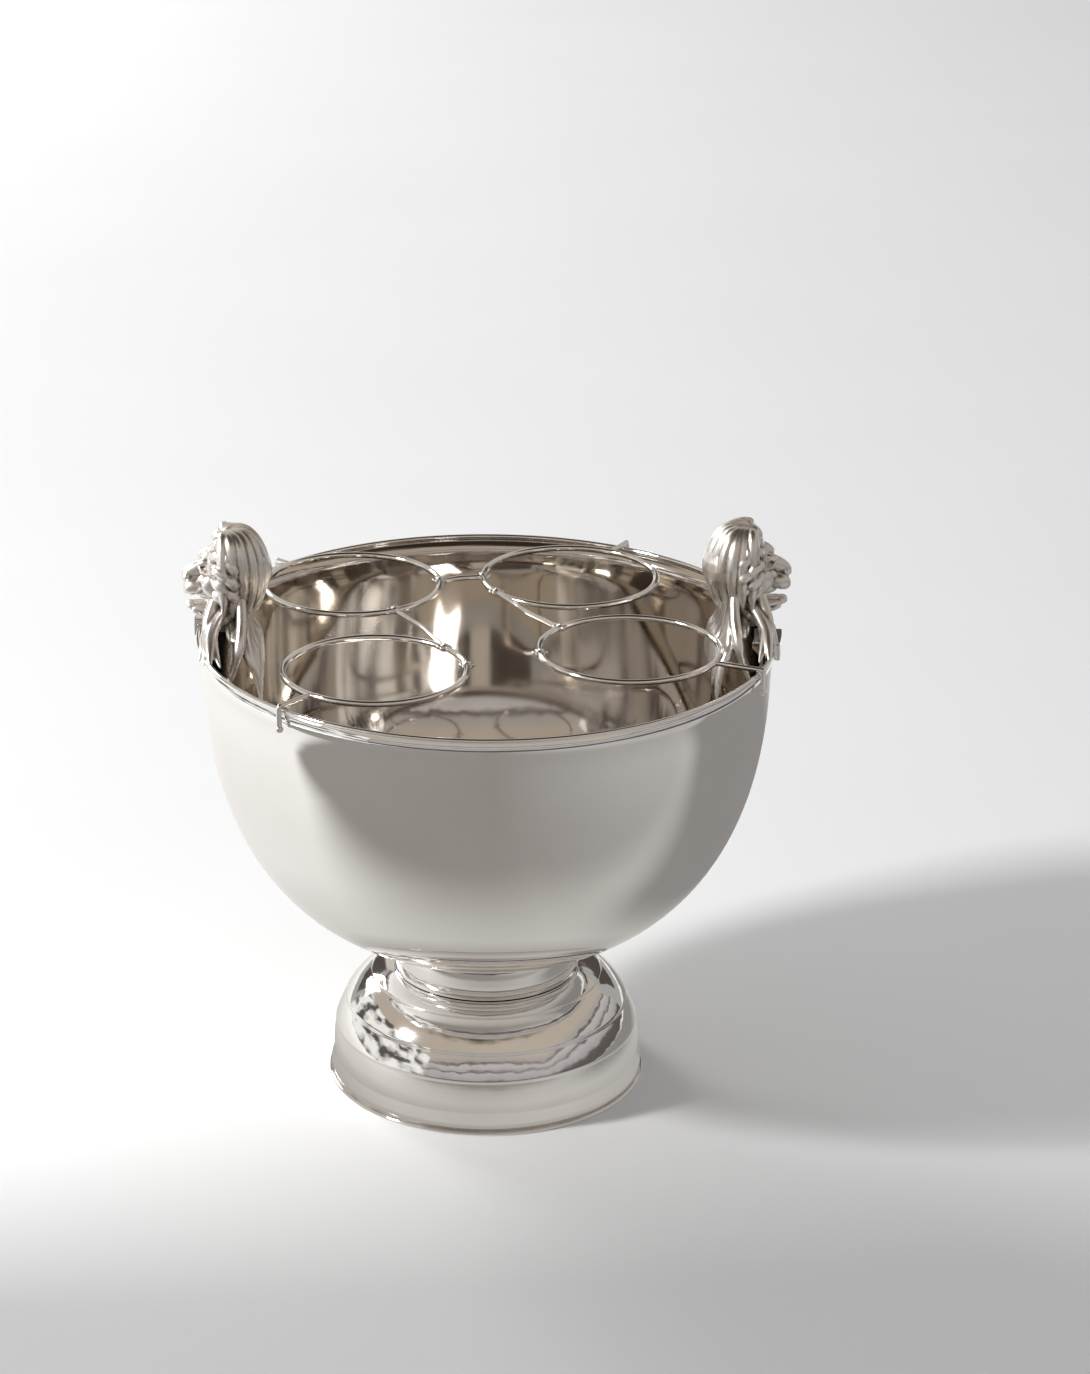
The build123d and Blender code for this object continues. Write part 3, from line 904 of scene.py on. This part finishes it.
lids = [
    lock(
        [(17, side * 7.5, 4), (20, side * 10, 7.2), (19, side * 14, 6.4), (15, side * 17, 2.5)],
        (0.5, 1.2, 1.2, 0.5),
    )
    for side in (1, -1)
]
face = melt("lion_face_right", [face] + both_sides((16.8, 12.0, 3.9), (2.9, 2.9, 2.7)) + lids, 0.55, 2)

# %% Jaw
jaw_parts = [
    lump((15, 0, -29.5), (16, 8.5, 3.6), (0, -4, 0)),
    lump((27, 0, -27.5), (4.5, 6.0, 3.4)),
    lump((20, 0, -25.5), (8, 4.5, 1.6)),
]
jaw_parts += [
    lock([(24, side, -30), (22, side * 1.4, -33), (17, side * 1.6, -35)], (3.0, 2.2, 0.4))
    for side in (-4.5, -1.5, 1.5, 4.5)
]
jaw = melt("lion_jaw_right", jaw_parts, 0.6, 3)


# %% Mane
def flute(angle):
    """A long smooth lock, combed from the crown over the back of the head, at a compass angle."""
    reaches = (2, 13, 24, 30, 31, 29, 26)
    heights = (30, 32.5, 26, 12, -4, -18, -31)
    points = []
    for step, (reach, height) in enumerate(zip(reaches, heights)):
        sway = 2 * sin(step * 1.1 + angle * 0.09)
        aside = reach * sin(radians(angle)) * 0.86 + sway
        points.append((1 - reach * cos(radians(angle)), aside, height))
    return lock(points, (2.5, 4.4, 5.2, 5.4, 4.8, 3.6, 0.8))


def curl(angle, edge, size):
    """A short curl that springs from the edge of the face and hooks back on itself."""
    side, up = sin(radians(angle)), cos(radians(angle))
    twist = 1 if side >= 0 else -1
    points = (
        (edge * 0.9, side * 19, up * 19 + 1),
        (edge - 1, side * 26, up * 27 + 1),
        (edge - 8, side * 29 + twist * up * 3, up * 29 - abs(side) * 4),
        (edge - 9, side * 25 + twist * up * 7, up * 25 - abs(side) * 8),
        (edge - 5, side * 23 + twist * up * 6, up * 23 - abs(side) * 6),
    )
    return lock(points, (size, size * 1.1, size, size * 0.8, size * 0.3))


mane_parts = [lump((-8, 0, 1), (28, 27, 27))]
mane_parts += [flute(angle) for angle in range(-90, 91, 15)]
mane_parts += [curl(angle, 8, 4.0) for angle in range(0, 360, 24)]
mane_parts += [curl(angle + 12, 1, 4.4) for angle in range(0, 360, 24)]
mane = melt("lion_mane_right", mane_parts, 0.8, 3)


# %% Neck
def inner_strand(spread_by):
    """A strand that falls from the mane over the rim into the bowl."""
    sway = 2.5 * sin(spread_by * 5.1)
    points = (
        (-12, spread_by * 3.4, -16),
        (-13, spread_by * 5.4 + sway, -31),
        (-11, spread_by * 7.4 - sway, -46),
        (-8, spread_by * 8.2 + sway, -62),
        (-1, spread_by * 8.4, -76 - 6 * cos(spread_by * 2.3)),
    )
    return lock(points, (4.0, 4.4, 4.2, 3.6, 1.0))


def mantle_strand(spread_by):
    """A strand of the lowest row, which hangs free of the wall inside the bowl."""
    sway = 2.5 * sin(spread_by * 3.7)
    points = (
        (-12, spread_by * 3.0, -22),
        (-14, spread_by * 5.2 - sway, -38),
        (-17, spread_by * 7.4 + sway, -56),
        (-25, spread_by * 8.8 - sway, -68),
        (-27, spread_by * 9.4, -88 + 7 * cos(spread_by * 1.9)),
    )
    return lock(points, (3.8, 4.2, 4.2, 3.8, 0.9))


def outer_strand(spread_by):
    """A strand that falls from the mane on to the rim."""
    points = (
        (8, spread_by * 4.0, -18),
        (13, spread_by * 6.0, -30),
        (15, spread_by * 8.0, -40),
        (18, spread_by * 8.8, -44.5),
    )
    return lock(points, (4.2, 4.4, 3.6, 1.4))


def side_strand(side, reach, overhang):
    """A strand that runs along the rim from the neck and droops over it."""

    def beyond_skull(aside):
        return sqrt((bead_high.x / MM) ** 2 - aside**2) - skull_middle.x / MM

    points = (
        (0, side * 13, -24),
        (beyond_skull(reach * 0.5) - 10, side * reach * 0.5, -36),
        (beyond_skull(reach * 0.8) - 6 + overhang * 0.4, side * reach * 0.8, -45),
        (beyond_skull(reach) - 4 + overhang, side * reach, -60 + reach * 0.08),
    )
    return lock(points, (4.6, 5.0, 4.2, 0.9))


neck_parts = [lump((3, 0, -34), (14, 19, 15)), lump((1, 0, -24), (15, 19, 14))]
neck_parts += [lump((-6, 0, -44), (7, 42, 9))]
neck_parts += [inner_strand(number - 6) for number in range(13)]
neck_parts += [mantle_strand(number - 5.5) for number in range(12)]
neck_parts += [outer_strand(number) for number in (-4.2, -3.2, -2.2, 2.2, 3.2, 4.2)]
neck_parts += [
    side_strand(side, reach, overhang)
    for side in (-1, 1)
    for reach, overhang in ((46, -9), (50, 6), (57, -7), (61, 5), (68, -6), (72, 3))
]
neck = melt("lion_neck_right", neck_parts, 0.85, 2)

# %% [markdown]
# ## Saddles and screws
# Each head stands on a saddle, a strip bent over the rim. Two screws inside the bowl clamp it.
# The strip's section is drawn, filled and spun through a few degrees, so that it follows the
# rim, and a small bevel takes off its sharp edges.

# %% Saddle
saddle_low, saddle_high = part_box("saddle_right")
STRIP = 2.6 * MM
SADDLE_STEPS = 12
SADDLE_ANGLE = 2 * atan2((saddle_high.y - saddle_low.y) / 2, saddle_high.x)
inner_face = saddle_low.x + 4 * STRIP
outer_face = saddle_high.x - STRIP
lip_low = bead_high.z - 9 * MM
corners = [
    (inner_face - STRIP, saddle_low.z),
    (inner_face, saddle_low.z),
    (inner_face, bead_high.z),
    (outer_face, bead_high.z),
    (outer_face, lip_low),
    (saddle_high.x, lip_low),
    (saddle_high.x, saddle_high.z),
    (saddle_low.x, saddle_high.z),
    (saddle_low.x, bead_high.z),
    (inner_face - STRIP, bead_high.z - 3 * STRIP),
]
saddle = draw_outline("rim_saddle_right", [(x, 0, z) for x, z in corners + corners[:1]])
bpy.ops.mesh.select_all(action="SELECT")
bpy.ops.mesh.remove_doubles(threshold=WELD)
bpy.ops.mesh.edge_face_add()
bpy.ops.transform.rotate(
    value=SADDLE_ANGLE / 2, orient_axis="Z", center_override=(0, 0, 0), orient_type="GLOBAL"
)
first_side = min(vertex.co.y for vertex in bmesh.from_edit_mesh(saddle.data).verts)
turning = SADDLE_ANGLE if first_side < -MM else -SADDLE_ANGLE
bpy.ops.mesh.spin(steps=SADDLE_STEPS, angle=turning, center=(0, 0, 0), axis=(0, 0, 1))
bpy.ops.mesh.select_all(action="SELECT")
bpy.ops.mesh.remove_doubles(threshold=WELD)
bpy.ops.mesh.normals_make_consistent(inside=False)
bpy.ops.object.mode_set(mode="OBJECT")
add_modifier(saddle, "BEVEL", width=0.5 * MM, segments=2, limit_method="ANGLE", angle_limit=radians(40))
bpy.ops.object.shade_smooth_by_angle(angle=radians(35))

# %% Clamp screws
screws_low, screws_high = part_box("clamp_screws_right")
screw_radius = (screws_high.y - screws_low.y) / 2
SCREW_HEAD = 2.2 * MM
screw_heights = (screws_low.z + screw_radius, screws_high.z - screw_radius)
screw_parts = []
for height in screw_heights:
    clear_selection()
    bpy.ops.mesh.primitive_cylinder_add(
        vertices=40,
        radius=screw_radius,
        depth=SCREW_HEAD,
        location=(screws_low.x + SCREW_HEAD / 2, 0, height),
        rotation=(0, pi / 2, 0),
    )
    screw = bpy.context.object
    bpy.ops.object.transform_apply(location=True, rotation=True, scale=True)
    add_modifier(screw, "BEVEL", width=0.6 * MM, segments=3, limit_method="ANGLE")
    clear_selection()
    bpy.ops.mesh.primitive_cube_add(size=1, location=(screws_low.x, 0, height))
    slot_cutter = bpy.context.object
    slot_cutter.scale = (1.8 * MM, 0.9 * MM, 9 * MM)
    bpy.ops.object.transform_apply(location=True, rotation=True, scale=True)
    add_modifier(screw, "BOOLEAN", operation="DIFFERENCE", object=slot_cutter, solver="EXACT")
    bpy.data.objects.remove(slot_cutter)
    screw_parts.append(screw)
screws = join_pieces("clamp_screw_heads_right", screw_parts)
bpy.ops.object.shade_smooth_by_angle(angle=radians(35))

# %% [markdown]
# ## The other side
# Every piece of the right head is copied with its own mesh, and the copy's mesh is turned half
# way round the bucket's axis.

# %% Dress the heads
pieces_of_a_head = {
    "lion_face": (face, cast_silver, ("head", "ears")),
    "lion_jaw": (jaw, cast_silver, ("jaw",)),
    "lion_mane": (mane, cast_silver, ("mane",)),
    "lion_neck": (neck, cast_silver, ("neck",)),
    "rim_saddle": (saddle, polished_silver, ("saddle",)),
    "clamp_screw_heads": (screws, fixing_steel, ("clamp_screws",)),
}
for name, (piece, material, nodes) in pieces_of_a_head.items():
    slot = "steel_fixing" if material == fixing_steel else "cast_silver"
    other = piece.copy()
    other.data = piece.data.copy()
    bpy.context.scene.collection.objects.link(other)
    other.name = f"{name}_left"
    other.data.transform(Matrix.Rotation(pi, 4, "Z"))
    dress(piece, material, "bucket", slot, *[f"{node}_right" for node in nodes])
    dress(other, material, "bucket", slot, *[f"{node}_left" for node in nodes])

# %% Hidden fixings
for node, material in (("stud", fixing_brass), ("nut", fixing_brass), ("washer", fixing_steel)):
    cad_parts[node].data.materials.clear()
    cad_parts[node].data.materials.append(material)
